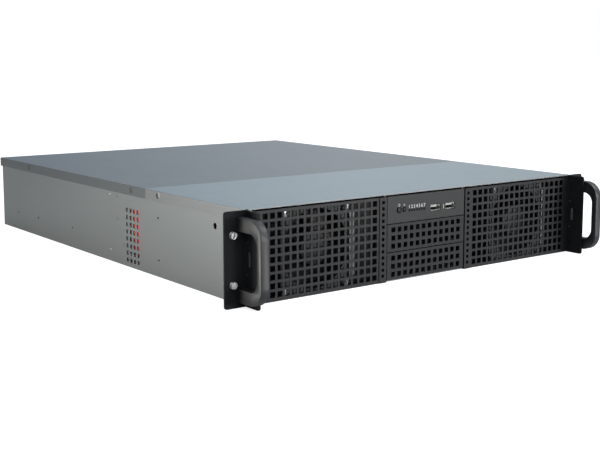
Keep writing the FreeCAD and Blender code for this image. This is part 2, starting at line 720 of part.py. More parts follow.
def fan_holder(name, number):
    """Moulded carrier for one fan, open at the front, with a pull tab; it hooks in a window."""
    body = new_body(name)
    place_at(body, "%g * holder_pitch" % (number - 1.5), "mid_wall", "holder_height")
    outer = new_sketch(body, "XZ", "-27")
    square(outer, "0", "0", "(fan_size + 3.4)")
    pad(body, outer, "27", reverse=True)
    pocket = new_sketch(body, "XZ", "-27")
    square(pocket, "0", "0", "(fan_size + 0.4)")
    cut(body, pocket, "50")
    window = new_sketch(body, "XZ")
    octagon(window, "0", "0", "34", "12")
    cut(body, window, "8")
    hooks = new_sketch(body, "XZ")
    for side in ("-", ""):
        rectangle(hooks, "%s35.8" % side, "-12", "%s34.2" % side, "12")
    pad(body, hooks, "2.6", reverse=True)
    notch = new_sketch(body, "YZ")
    rectangle(notch, "-28", "-fan_size / 2 - 2", "-4", "-27")
    cut(body, notch, "fan_size + 10")
    tab = new_sketch(body, "XZ", "-27")
    rectangle(tab, "-12", "fan_size / 2 - 8", "12", "fan_size / 2 + 1")
    pad(body, tab, "1.6", reverse=True)
    return body


def cross_bar():
    """Channel across the case under the seam of the two lids."""
    body = new_body("cross_bar")
    inside = "body_width / 2 - steel"
    top = "lid_top - lid_steel"
    sketch = new_sketch(body, "YZ", "-(%s)" % inside)
    polygon(sketch, [("seam - 4", top + " - steel"), ("seam - 4", top + " - 11"), ("seam - 4 + steel", top + " - 11"),
                     ("seam - 4 + steel", top + " - 2 * steel"), ("seam + 12 - steel", top + " - 2 * steel"),
                     ("seam + 12 - steel", top + " - 11"), ("seam + 12", top + " - 11"),
                     ("seam + 12", top + " - steel")])
    pad(body, sketch, "2 * (%s)" % inside)
    return body


def supply_rail():
    """Angle on the floor that guides the power supply to its opening."""
    body = new_body("supply_rail")
    sketch = new_sketch(body, "XZ", "body_depth - 11.5")
    polygon(sketch, [("109.2", "steel"), ("123", "steel"), ("123", "2 * steel"), ("110.4", "2 * steel"),
                     ("110.4", "42"), ("109.2", "42")])
    pad(body, sketch, "165")
    slots = new_sketch(body, "YZ", "109.8")
    rectangle(slots, "410", "14", "440", "34")
    grid(body, cut(body, slots, "6 * steel"), "3", "44", "1", "0")
    return body


def board_standoffs():
    """Hexagonal posts with a screw hole, in the standard pattern of a full-size board."""
    posts = []
    rear = "body_depth - 15"
    for across in ("102", "-55.48", "-179.94"):
        for along in ("0", "154.94", "227.33"):
            post = doc.addObject("Part::Prism", "standoff_post")
            post.Polygon = 6
            bind(post, "Circumradius", "3.2")
            bind(post, "Height", "board_height")
            hole = primitive("Cylinder", "standoff_hole", {"Radius": "1.5", "Height": "board_height - 1"},
                             (across, "%s - %s" % (rear, along), "steel + 1"))
            for axis, text in (("x", across), ("y", "%s - %s" % (rear, along)), ("z", "steel")):
                bind(post, "Placement.Base." + axis, text)
            standoff = doc.addObject("Part::Cut", "standoff")
            standoff.Base = post
            standoff.Tool = hole
            posts.append(standoff)
    return group("board_standoffs", posts)


# ---------------------------------------------------------------- lids
LID_SCREWS = {"lid_front": ("155",), "lid_rear": ("209.7", "475.5")}


def lid(name, start, end, apron_front, rear_hem):
    """Folded lid: top sheet with a flange down each side wall, and an apron or a hem at its end."""
    body = new_body(name)
    wall = "body_width / 2 + 0.05"
    low = "lid_top - lid_flange"
    outer = wall + " + lid_steel"
    sketch = new_sketch(body, "XZ", start)
    polygon(sketch, [("-(%s)" % outer, low), ("-(%s)" % wall, low), ("-(%s)" % wall, "lid_top - lid_steel"),
                     (wall, "lid_top - lid_steel"), (wall, low), (outer, low), (outer, "lid_top"),
                     ("-(%s)" % outer, "lid_top")])
    pad(body, sketch, "%s - (%s)" % (end, start), reverse=True)
    if apron_front:
        between_ears = "body_width / 2 - steel - ear_plate - 0.1"
        apron = new_sketch(body, "XZ", "-0.6")
        rectangle(apron, "-(%s)" % between_ears, "lid_top - lid_steel", between_ears, "lid_top")
        pad(body, apron, "%s + 0.6" % start, reverse=True)
    if rear_hem:
        hem = new_sketch(body, "XZ", "%s - lid_steel" % end)
        rectangle(hem, "-(%s)" % wall, "lid_top - 9", wall, "lid_top - 0.5 * lid_steel")
        pad(body, hem, "lid_steel", reverse=True)
    screw_holes = new_sketch(body, "YZ")
    for along in LID_SCREWS[name]:
        ring(screw_holes, along, "lid_top - 5", "1.8", 6)
    cut(body, screw_holes, "body_width + 20")
    return body


def lid_screws(name, places):
    """Short flat-headed screws through a lid's side flanges."""
    screws = []
    for side in ("-", ""):
        for along in places:
            place = ("%s(body_width / 2 + 0.1)" % side, along, "lid_top - 5")
            axis = "-X" if side else "+X"
            shank = rod("lid_screw_shank", axis, "1.5", "1.4", place, 6)
            seat = ("%s(body_width / 2 + 0.05 + lid_steel)" % side, along, "lid_top - 5")
            head = rod("lid_screw_head", axis, "2.9", "0.9", seat, 10)
            screws.append(fused("lid_screw", [shank, head]))
    return group(name, screws)


# ---------------------------------------------------------------- build, check and save
def build():
    chassis_base()
    rear_panel()
    slot_covers()
    for word, side in (("left", "-1"), ("right", "1")):
        vent_panel("vent_panel_" + word, side)
        bay_strip("bay_strip_" + word, side)
        ear_bracket("ear_bracket_" + word, side)
        handle("handle_" + word, side)
        for level, sign in (("lower", "-"), ("upper", "+")):
            thumb_screw("thumb_screw_%s_%s" % (word, level), side, sign)
        fan_at = "%s * fan_centre" % side
        fan_frame("fan_frame_" + word, fan_at)
        fan_rotor("fan_rotor_" + word, fan_at)
        fan_bracket("fan_bracket_" + word, fan_at)
        fan_screws("fan_screws_" + word, fan_at)
    handle_screws()
    drive_cage()
    bay_cover("bay_cover_lower", 0)
    bay_cover("bay_cover_upper", 1)
    io_panel()
    io_board()
    usb_socket("usb_socket_left", "12")
    usb_socket("usb_socket_right", "32.9")
    usb_tongues()
    lamp_pipes()
    button("power_button", "-37.4", "2.2")
    button("reset_button", "-30.6", "1.5")
    button_switches()
    mid_wall()
    for number in range(4):
        fan_holder("fan_holder_%d" % (number + 1), number)
    cross_bar()
    supply_rail()
    board_standoffs()
    lid("lid_front", "base_front + 0.1", "seam - 0.3", True, False)
    lid("lid_rear", "seam + 0.3", "body_depth + rear_overhang", False, True)
    for name, places in LID_SCREWS.items():
        lid_screws(name.replace("lid_", "lid_screws_"), places)


def check():
    """Stop on any failed object or broken solid."""
    doc.recompute()
    for thing in doc.Objects:
        if "Invalid" in thing.State or "Error" in thing.State:
            sys.exit("failed object: %s %s" % (thing.Name, thing.State))
    for body in subparts:
        if body.Shape.isNull() or not body.Shape.isValid() or not body.Shape.Solids:
            sys.exit("broken shape: %s" % body.Label)


def save():
    os.makedirs("parts", exist_ok=True)
    for body in subparts:
        body.Shape.exportStep("parts/%s.step" % body.Label)
        print("%-26s %2d solids %9.2f mm3" % (body.Label, len(body.Shape.Solids), body.Shape.Volume))


build()
check()
save()
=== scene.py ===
"""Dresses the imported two-unit rack case: finishes, edge breaks, fasteners, controls and light."""

import json
import math

import bmesh
import bpy
from mathutils import Matrix, Vector


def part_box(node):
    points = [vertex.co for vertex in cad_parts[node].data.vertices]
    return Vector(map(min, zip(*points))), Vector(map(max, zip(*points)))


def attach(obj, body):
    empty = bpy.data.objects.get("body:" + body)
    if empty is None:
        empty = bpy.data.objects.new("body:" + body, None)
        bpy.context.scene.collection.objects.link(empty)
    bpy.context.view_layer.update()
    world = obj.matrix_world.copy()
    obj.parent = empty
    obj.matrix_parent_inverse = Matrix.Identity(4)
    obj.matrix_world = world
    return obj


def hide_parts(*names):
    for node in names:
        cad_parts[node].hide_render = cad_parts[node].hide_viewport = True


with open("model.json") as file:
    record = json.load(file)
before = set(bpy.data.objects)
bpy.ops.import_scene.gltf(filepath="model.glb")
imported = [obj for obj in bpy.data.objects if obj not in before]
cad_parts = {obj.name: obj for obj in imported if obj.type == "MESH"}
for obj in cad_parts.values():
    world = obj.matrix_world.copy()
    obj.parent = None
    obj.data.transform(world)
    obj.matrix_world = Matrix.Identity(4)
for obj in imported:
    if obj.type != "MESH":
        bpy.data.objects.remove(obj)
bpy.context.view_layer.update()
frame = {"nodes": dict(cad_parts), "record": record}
nodes = frame["nodes"]

# ---------------------------------------------------------------- places, millimetres from the frame
MM = 0.001
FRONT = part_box("vent_panel_left")[0].y / MM
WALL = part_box("chassis_base")[1].x / MM
LID_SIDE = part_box("lid_rear")[1].x / MM
LID_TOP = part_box("lid_rear")[1].z / MM
VENT_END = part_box("vent_panel_right")[1].x / MM
BODY_OF = {node: body
           for body, members in frame["record"]["behaviour"]["bodies"].items()
           for node in members}
SLOT_OF = {entry["node"]: entry["material_slot"] for entry in frame["record"]["subparts"]}


def at(across, behind, up):
    """Point given in millimetres: across, behind the front panels' face, and up."""
    return Vector((across, FRONT + behind, up)) * MM


# ---------------------------------------------------------------- shader groups
def new_group(name, inputs, outputs):
    """Empty shader node group with named inputs and outputs."""
    tree = bpy.data.node_groups.new(name, "ShaderNodeTree")
    for label, start in inputs:
        socket = tree.interface.new_socket(label, in_out="INPUT", socket_type="NodeSocketFloat")
        socket.default_value = start
    for label in outputs:
        tree.interface.new_socket(label, in_out="OUTPUT", socket_type="NodeSocketFloat")
    return tree, tree.nodes.new("NodeGroupInput"), tree.nodes.new("NodeGroupOutput")


def object_places(tree, scale=(1, 1, 1)):
    """Object coordinates, stretched by a Mapping node."""
    coordinates = tree.nodes.new("ShaderNodeTexCoord")
    mapping = tree.nodes.new("ShaderNodeMapping")
    mapping.inputs["Scale"].default_value = scale
    tree.links.new(coordinates.outputs["Object"], mapping.inputs["Vector"])
    return mapping.outputs["Vector"]


def noise(tree, places, detail, roughness, scale):
    """Noise over some places; its scale is a number or a socket."""
    node = tree.nodes.new("ShaderNodeTexNoise")
    node.inputs["Detail"].default_value = detail
    node.inputs["Roughness"].default_value = roughness
    tree.links.new(places, node.inputs["Vector"])
    if isinstance(scale, (int, float)):
        node.inputs["Scale"].default_value = scale
    else:
        tree.links.new(scale, node.inputs["Scale"])
    return node.outputs["Fac"]


def ramp(tree, value, low, high):
    """Value spread so that low becomes 0 and high becomes 1."""
    node = tree.nodes.new("ShaderNodeMapRange")
    node.inputs["From Min"].default_value = low
    node.inputs["From Max"].default_value = high
    tree.links.new(value, node.inputs["Value"])
    return node.outputs["Result"]


def rolled_grain_group():
    """Fine streaks that the rolling mill leaves along a sheet, and broad cloudy patches."""
    tree, given, made = new_group("rolled_grain", [("Streak Scale", 900), ("Cloud Scale", 9)],
                                  ["Streaks", "Clouds"])
    along = object_places(tree, (1.0, 0.035, 1.0))
    streaks = noise(tree, along, 4, 0.6, given.outputs["Streak Scale"])
    clouds = noise(tree, object_places(tree), 3, 0.5, given.outputs["Cloud Scale"])
    tree.links.new(ramp(tree, streaks, 0.3, 0.7), made.inputs["Streaks"])
    tree.links.new(ramp(tree, clouds, 0.3, 0.7), made.inputs["Clouds"])
    return tree


def powder_group():
    """Grainy skin of a powder coat, with a faint orange peel under it."""
    tree, given, made = new_group("powder_skin", [("Grain Scale", 2600), ("Peel Scale", 500)],
                                  ["Grain", "Peel"])
    places = object_places(tree)
    tree.links.new(noise(tree, places, 3, 0.6, given.outputs["Grain Scale"]), made.inputs["Grain"])
    tree.links.new(noise(tree, places, 2, 0.4, given.outputs["Peel Scale"]), made.inputs["Peel"])
    return tree


def handled_group():
    """Patches where hands and cloths have polished a surface a little."""
    tree, given, made = new_group("handled", [("Scale", 14)], ["Patches"])
    patches = noise(tree, object_places(tree), 5, 0.65, given.outputs["Scale"])
    tree.links.new(ramp(tree, patches, 0.35, 0.68), made.inputs["Patches"])
    return tree


GRAIN = rolled_grain_group()
POWDER = powder_group()
HANDLED = handled_group()


# ---------------------------------------------------------------- materials
class Finish:
    """One material: a Principled shader with plain values, and groups that vary some of them."""

    def __init__(self, name, colour, rough, metal=0.0, specular=0.5, coat=0.0):
        self.made = bpy.data.materials.new(name)
        self.made.use_nodes = True
        self.tree = self.made.node_tree
        self.shader = self.tree.nodes["Principled BSDF"]
        self.colour = (*colour, 1.0)
        self.rough = rough
        self.shader.inputs["Base Color"].default_value = self.colour
        self.shader.inputs["Roughness"].default_value = rough
        self.shader.inputs["Metallic"].default_value = metal
        self.shader.inputs["Specular IOR Level"].default_value = specular
        self.shader.inputs["Coat Weight"].default_value = coat

    def place(self, group, **values):
        """Put a shared group in this material with its own values."""
        node = self.tree.nodes.new("ShaderNodeGroup")
        node.node_tree = group
        for label, number in values.items():
            node.inputs[label.replace("_", " ")].default_value = number
        return node

    def tint(self, mask, other):
        """Mix towards another colour by a mask, on top of what feeds the colour already."""
        mix = self.tree.nodes.new("ShaderNodeMix")
        mix.data_type = "RGBA"
        base = self.shader.inputs["Base Color"]
        if base.is_linked:
            self.tree.links.new(base.links[0].from_socket, mix.inputs["A"])
        else:
            mix.inputs["A"].default_value = self.colour
        mix.inputs["B"].default_value = (*other, 1.0)
        self.tree.links.new(mask, mix.inputs["Factor"])
        self.tree.links.new(mix.outputs["Result"], base)

    def roughen(self, mask, low, high):
        """Roughness that runs from low to high with a mask."""
        spread = self.tree.nodes.new("ShaderNodeMapRange")
        spread.inputs["To Min"].default_value = low
        spread.inputs["To Max"].default_value = high
        self.tree.links.new(mask, spread.inputs["Value"])
        self.tree.links.new(spread.outputs["Result"], self.shader.inputs["Roughness"])

    def bump(self, height, strength, distance):
        """Small relief; a second call lies on top of the first."""
        node = self.tree.nodes.new("ShaderNodeBump")
        node.inputs["Strength"].default_value = strength
        node.inputs["Distance"].default_value = distance
        normal = self.shader.inputs["Normal"]
        if normal.is_linked:
            self.tree.links.new(normal.links[0].from_socket, node.inputs["Normal"])
        self.tree.links.new(height, node.inputs["Height"])
        self.tree.links.new(node.outputs["Normal"], normal)


def sheet_steel(name, colour, other, rough, glance=(1, 1, 1)):
    """Zinc-coated sheet: satin, with rolling streaks, cloudy patches and a tint at a glancing view."""
    finish = Finish(name, colour, rough, metal=0.9)
    finish.shader.inputs["Specular Tint"].default_value = (*glance, 1)
    grain = finish.place(GRAIN, Streak_Scale=900, Cloud_Scale=9)
    finish.tint(grain.outputs["Clouds"], other)
    finish.roughen(grain.outputs["Streaks"], rough - 0.02, rough + 0.03)
    finish.bump(grain.outputs["Streaks"], 0.025, 0.00001)
    return finish.made


def powder_coat(name, colour, other, rough, specular=0.4):
    """Black powder coat on steel."""
    finish = Finish(name, colour, rough, specular=specular)
    skin = finish.place(POWDER, Grain_Scale=2600, Peel_Scale=500)
    touched = finish.place(HANDLED, Scale=14)
    finish.tint(touched.outputs["Patches"], other)
    finish.roughen(touched.outputs["Patches"], rough - 0.04, rough + 0.08)
    finish.bump(skin.outputs["Peel"], 0.12, 0.0001)
    finish.bump(skin.outputs["Grain"], 0.16, 0.00005)
    return finish.made


def moulded(name, colour, other, rough):
    """Moulded plastic with a fine spark-eroded skin."""
    finish = Finish(name, colour, rough, specular=0.45)
    skin = finish.place(POWDER, Grain_Scale=3400, Peel_Scale=260)
    finish.tint(skin.outputs["Peel"], other)
    finish.bump(skin.outputs["Grain"], 0.1, 0.00004)
    return finish.made


def plated(name, colour, other, rough):
    """Bright plating with slightly duller patches."""
    finish = Finish(name, colour, rough, metal=1.0)
    touched = finish.place(HANDLED, Scale=120)
    finish.tint(touched.outputs["Patches"], other)
    finish.roughen(touched.outputs["Patches"], rough, rough + 0.12)
    return finish.made


def clear_plastic(name):
    """Unlit light pipe: dark, with a glossy end."""
    finish = Finish(name, (0.004, 0.004, 0.004), 0.3, specular=0.15)
    touched = finish.place(HANDLED, Scale=300)
    finish.roughen(touched.outputs["Patches"], 0.26, 0.36)
    return finish.made


def board_lacquer(name):
    """Green solder mask over a woven board."""
    finish = Finish(name, (0.012, 0.12, 0.045), 0.35, specular=0.55)
    skin = finish.place(POWDER, Grain_Scale=1800, Peel_Scale=900)
    finish.tint(skin.outputs["Peel"], (0.02, 0.16, 0.06))
    finish.bump(skin.outputs["Peel"], 0.1, 0.00003)
    return finish.made


MATERIALS = {
    "galvanised_steel": sheet_steel("galvanised_steel", (0.255, 0.272, 0.27),
                                    (0.27, 0.287, 0.285), 0.42),
    "lid_steel": sheet_steel("lid_steel", (0.175, 0.188, 0.192), (0.187, 0.2, 0.204), 0.36,
                             glance=(0.96, 0.96, 0.95)),
    "black_steel": powder_coat("black_steel", (0.01, 0.01, 0.011), (0.014, 0.014, 0.015), 0.5),
    "black_handle": powder_coat("black_handle", (0.003, 0.003, 0.004), (0.005, 0.005, 0.006), 0.46,
                                specular=0.95),
    "black_plastic": moulded("black_plastic", (0.014, 0.014, 0.014), (0.018, 0.018, 0.018), 0.5),
    "red_plastic": moulded("red_plastic", (0.62, 0.03, 0.035), (0.7, 0.05, 0.05), 0.45),
    "bright_screw": plated("bright_screw", (0.56, 0.56, 0.55), (0.45, 0.45, 0.45), 0.3),
    "socket_metal": plated("socket_metal", (0.75, 0.75, 0.74), (0.66, 0.66, 0.65), 0.2),
    "white_plastic": moulded("white_plastic", (0.6, 0.6, 0.58), (0.66, 0.66, 0.63), 0.42),
    "clear_plastic": clear_plastic("clear_plastic"),
    "circuit_board": board_lacquer("circuit_board"),
    "brass": plated("brass", (0.72, 0.5, 0.2), (0.6, 0.41, 0.16), 0.3),
}
FRONT_LID_STEEL = sheet_steel("front_lid_steel", (0.295, 0.303, 0.3), (0.31, 0.318, 0.315), 0.34,
                              glance=(0.9, 0.98, 1))
BRACKET_STEEL = sheet_steel("bracket_steel", (0.24, 0.27, 0.26), (0.28, 0.31, 0.3), 0.38)
CUT_EDGE = sheet_steel("cut_edge", (0.2, 0.205, 0.205), (0.26, 0.265, 0.265), 0.5)
DULL_PLATING = plated("dull_plating", (0.13, 0.135, 0.135), (0.09, 0.095, 0.095), 0.42)
EAR_BLACK = powder_coat("ear_black", (0.007, 0.008, 0.009), (0.01, 0.011, 0.012), 0.62,
                        specular=0.25)
WHITE_INK = moulded("white_ink", (0.62, 0.62, 0.62), (0.55, 0.55, 0.55), 0.6)
# Painted shade: a darker ring round each rivet stands for the shade in the groove round it.
GROOVE_SHADE = moulded("painted_groove_shade", (0.05, 0.052, 0.05), (0.07, 0.072, 0.07), 0.6)
FAN_BLACK = moulded("fan_black", (0.007, 0.007, 0.008), (0.01, 0.01, 0.011), 0.55)
# Pitch black without sheen: painted shade for the dark gaps of the holes round the buttons and lamps.
HOLE_SHADE = Finish("painted_hole_shade", (0.003, 0.003, 0.003), 0.8, specular=0).made


def paint(piece, material):
    """Give a piece one material only."""
    piece.data.materials.clear()
    piece.data.materials.append(material)


# ---------------------------------------------------------------- helpers for pieces
SAME_POINT = 0.000001       # metres; corners nearer than this are one
CAD_SAME_POINT = 0.000004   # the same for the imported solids' corners
SHARP = math.radians(30)    # edges sharper than this are broken
FLAT = math.radians(0.8)    # faces flatter to each other than this are one


def add_piece(name, mesh, body, slot, material=None):
    """Object for a finished mesh, riding on its body."""
    piece = bpy.data.objects.new(name, mesh)
    bpy.context.scene.collection.objects.link(piece)
    paint(piece, material or MATERIALS[slot])
    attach(piece, body)
    return piece


def to_mesh(name, shape):
    """Close a bmesh into a mesh, with its faces turned outwards."""
    bmesh.ops.remove_doubles(shape, verts=shape.verts, dist=SAME_POINT)
    bmesh.ops.recalc_face_normals(shape, faces=shape.faces)
    mesh = bpy.data.meshes.new(name)
    shape.to_mesh(mesh)
    shape.free()
    return mesh


def soften(piece, width, segments, rounded=False):
    """Break the sharp edges of a piece with a live bevel; a rounded one is shaded smooth."""
    bevel = piece.modifiers.new("edge_break", "BEVEL")
    bevel.width = width * MM
    bevel.segments = segments
    bevel.limit_method = "ANGLE"
    bevel.angle_limit = SHARP
    bevel.harden_normals = rounded
    for face in piece.data.polygons:
        face.use_smooth = rounded


def edged(node, width, segments=2, material=None, rounded=False):
    """A node's own shape with its edges broken, standing for the node."""
    shape = bmesh.new()
    shape.from_mesh(nodes[node].data)
    bmesh.ops.remove_doubles(shape, verts=shape.verts, dist=CAD_SAME_POINT)
    bmesh.ops.dissolve_limit(shape, angle_limit=FLAT, verts=shape.verts, edges=shape.edges,
                             use_dissolve_boundaries=False)
    mesh = bpy.data.meshes.new(node + "_edged")
    shape.to_mesh(mesh)
    shape.free()
    piece = add_piece(node + "_edged", mesh, BODY_OF[node], SLOT_OF[node], material)
    soften(piece, width, segments, rounded)
    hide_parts(node)
    return piece


def block(shape, centre, size):
    """Add a box to a bmesh: its centre a point, its size in millimetres."""
    made = bmesh.ops.create_cube(shape, size=1)["verts"]
    bmesh.ops.scale(shape, vec=Vector(size) * MM, verts=made)
    bmesh.ops.translate(shape, vec=centre, verts=made)


def facing(direction):
    """Turn that takes +Z to a direction."""
    return Vector((0, 0, 1)).rotation_difference(Vector(direction)).to_matrix().to_4x4()


def scattered(name, template, places):
    """Mesh with a copy of the template bmesh at each (point, direction, turn)."""
    single = to_mesh(name + "_one", template)
    whole = bmesh.new()
    for point, direction, turn in places:
        before = len(whole.verts)
        whole.from_mesh(single)
        whole.verts.ensure_lookup_table()
        spot = Matrix.Translation(point) @ facing(direction) @ Matrix.Rotation(turn, 4, "Z")
        bmesh.ops.transform(whole, matrix=spot, verts=whole.verts[before:])
    mesh = bpy.data.meshes.new(name)
    whole.to_mesh(mesh)
    whole.free()
    bpy.data.meshes.remove(single)
    return mesh


def smooth_turned(piece, angle=35):
    """Smooth shading over a round shape, sharp across its corners."""
    for face in piece.data.polygons:
        face.use_smooth = True
    piece.data.set_sharp_from_angle(angle=math.radians(angle))


# ---------------------------------------------------------------- turned shapes and fasteners
def turned(profile, turns=32):
    """Bmesh turned about its own Z from pairs of radius and height in millimetres."""
    shape = bmesh.new()
    points = [shape.verts.new((radius * MM, 0, height * MM)) for radius, height in profile]
    edges = [shape.edges.new(pair) for pair in zip(points, points[1:])]
    bmesh.ops.spin(shape, geom=points + edges, cent=(0, 0, 0), axis=(0, 0, 1), angle=2 * math.pi,
                   steps=turns, use_merge=True)
    bmesh.ops.remove_doubles(shape, verts=shape.verts, dist=SAME_POINT)
    return shape


def cross(reach, half):
    """Outline of a cross-head recess: four arms of one reach and half-width."""
    corner = [(half, half), (half, reach), (-half, reach)]
    quarters = [Matrix.Rotation(turn * math.pi / 2, 2) for turn in range(4)]
    return [quarter @ Vector(point) for quarter in quarters for point in corner]


def slit(reach, half):
    """Outline of a straight slot."""
    return [Vector(point) for point in ((reach, half), (-reach, half), (-reach, -half), (reach, -half))]


def recess(shape, outline, depth):
    """Close the open flat top of a shape round an outline, and sink that outline into it."""
    top = max(vert.co.z for vert in shape.verts)
    rim = [edge for edge in shape.edges
           if edge.is_boundary and all(vert.co.z > top - SAME_POINT for vert in edge.verts)]
    corners = [shape.verts.new((point.x * MM, point.y * MM, top)) for point in outline]
    sides = [shape.edges.new(pair) for pair in zip(corners, corners[1:] + corners[:1])]
    bmesh.ops.triangle_fill(shape, edges=rim + sides, use_beauty=True)
    wall = bmesh.ops.extrude_edge_only(shape, edges=sides)["geom"]
    low = [item for item in wall if isinstance(item, bmesh.types.BMVert)]
    bmesh.ops.translate(shape, vec=(0, 0, -depth * MM), verts=low)
    bmesh.ops.scale(shape, vec=(0.8, 0.8, 1), verts=low)
    bottom = [item for item in wall
              if isinstance(item, bmesh.types.BMEdge) and all(vert in low for vert in item.verts)]
    bmesh.ops.contextual_create(shape, geom=bottom)


def pan_head(radius, height, shank=0.0, length=0.0):
    """Cross-head pan screw standing on z = 0, with its shank below when it has one."""
    below = [(0, 0)]
    if length:
        below = [(0, -length), (0.8 * shank, -length), (shank, 0.3 - length), (shank, 0)]
    shape = turned(below + [(radius, 0), (radius, 0.4 * height), (0.95 * radius, 0.7 * height),
                            (0.84 * radius, 0.9 * height), (0.7 * radius, height)])
    recess(shape, cross(0.56 * radius, 0.15 * radius), 0.55 * height)
    return shape


def knurled_head(radius, length, ribs, slot_reach):
    """Straight-ribbed knob with a chamfered end and a straight slot."""
    shape = bmesh.new()
    ring = []
    for number in range(2 * ribs):
        turn = math.pi * number / ribs
        reach = (radius if number % 2 else 0.94 * radius) * MM
        ring.append(shape.verts.new((reach * math.cos(turn), reach * math.sin(turn), 0)))
    edges = [shape.edges.new(pair) for pair in zip(ring, ring[1:] + ring[:1])]
    bmesh.ops.contextual_create(shape, geom=edges)
    for rise, narrow in ((length - 0.4, 1.0), (0.4, 0.9)):
        lifted = bmesh.ops.extrude_edge_only(shape, edges=edges)["geom"]
        verts = [item for item in lifted if isinstance(item, bmesh.types.BMVert)]
        bmesh.ops.translate(shape, vec=(0, 0, rise * MM), verts=verts)
        bmesh.ops.scale(shape, vec=(narrow, narrow, 1), verts=verts)
        edges = [item for item in lifted if isinstance(item, bmesh.types.BMEdge)
                 and all(vert in verts for vert in item.verts)]
    recess(shape, slit(slot_reach, 0.5), 0.9)
    return shape


def joined(shapes):
    """One bmesh from several (shape, lift in millimetres)."""
    whole = bmesh.new()
    for shape, lift in shapes:
        bmesh.ops.translate(shape, vec=(0, 0, lift * MM), verts=shape.verts)
        part = to_mesh("part", shape)
        whole.from_mesh(part)
        bpy.data.meshes.remove(part)
    return whole


def fasten(name, template, places, body, slot="bright_screw", node=None, material=None):
    """Scatter one fastener over its places; it stands for a node when one is given."""
    piece = add_piece(name, scattered(name, template, places), body, slot, material)
    smooth_turned(piece)
    if node:
        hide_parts(node)
    return piece


# ---------------------------------------------------------------- the case's own pieces, with broken edges
def dress_case():
    """Stand a piece with broken edges for each of the sheets, the handles and the plain mouldings."""
    for node in ("chassis_base", "rear_panel", "slot_covers", "drive_cage", "cross_bar", "supply_rail"):
        edged(node, 0.18)
    for node in ("mid_wall", "fan_bracket_left", "fan_bracket_right"):
        edged(node, 0.18, material=BRACKET_STEEL)
    edged("lid_front", 0.25, 3, FRONT_LID_STEEL)
    edged("lid_rear", 0.25, 3)
    for side in ("left", "right"):
        edged("vent_panel_" + side, 0.2)
        edged("bay_strip_" + side, 0.12)
        edged("ear_bracket_" + side, 0.3, material=EAR_BLACK)
        edged("handle_" + side, 0.3, rounded=True)
        edged("fan_frame_" + side, 0.4)
    for level in ("lower", "upper"):
        edged("bay_cover_" + level, 0.1)
    edged("io_panel", 0.1)
    for number in range(4):
        edged("fan_holder_%d" % (number + 1), 0.3)


# ---------------------------------------------------------------- forms that the solids lack
GRIP = (6.4, 22, 60)        # across, along and up
GRIP_FOOT = 12.5            # height of a grip's lower end
GRIP_SET_IN = 2             # from the holder's rear face to the grip's
CUT_STRIP = (0.1, 0.8)      # along and up
CUT_STRIP_DROP = 0.5        # from the lid's top to the strip's middle


def holder_grips():
    """Red blocks beside the two outer fan holders, so that their red reaches the side vents."""
    grips = bmesh.new()
    for node, side in (("fan_holder_1", -1), ("fan_holder_4", 1)):
        low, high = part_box(node)
        outer = low.x if side < 0 else high.x
        block(grips, (outer + side * GRIP[0] / 2 * MM,
                      high.y - (GRIP_SET_IN + GRIP[1] / 2) * MM,
                      (GRIP_FOOT + GRIP[2] / 2) * MM), GRIP)
    piece = add_piece("holder_grips", to_mesh("holder_grips", grips), "case", "red_plastic")
    soften(piece, 0.8, 2)


def lid_cut_edge():
    """Thin bright strip along the front lid's cut edge, over the front panels."""
    low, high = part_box("lid_front")
    strip = bmesh.new()
    block(strip, (0, low.y, high.z - CUT_STRIP_DROP * MM), (2 * VENT_END, *CUT_STRIP))
    add_piece("lid_cut_edge", to_mesh("lid_cut_edge", strip), "front_lid", "lid_steel", CUT_EDGE)


# ---------------------------------------------------------------- fans
FAN_CENTRE = 137.2          # from the middle of the case
FAN_UP = 42.8               # height of the fans' axes
HUB = 16.5                  # radius
HUB_LENGTH = 19.5
ROOT = HUB - 1.5            # the blades start inside the hub
TIP = 36.2
BLADES = 7
SECTIONS = 7                # along each blade
BLADE_MIDDLE = 9.9          # along the axis, from the hub's face
SWEEP = 0.12                # how far the tip leads the root, in radians


def blade_section(reach):
    """Closed cambered section at a share of the blade's length: (along the turn, along the axis)."""
    chord = 17.0 + 6.0 * reach
    pitch = math.radians(47 - 9 * reach)
    thick = 1.3 - 0.5 * reach
    steps = 8
    upper, lower = [], []
    for step in range(steps + 1):
        share = step / steps
        along = (share - 0.5) * chord
        arch = 1.7 * math.sin(math.pi * share)
        body = 0.5 * thick * (0.35 + math.sin(math.pi * share) ** 0.5)
        upper.append((along, arch + body))
        lower.append((along, arch - body))
    loop = upper + lower[::-1]
    return [(along * math.cos(pitch) - up * math.sin(pitch),
             along * math.sin(pitch) + up * math.cos(pitch)) for along, up in loop]


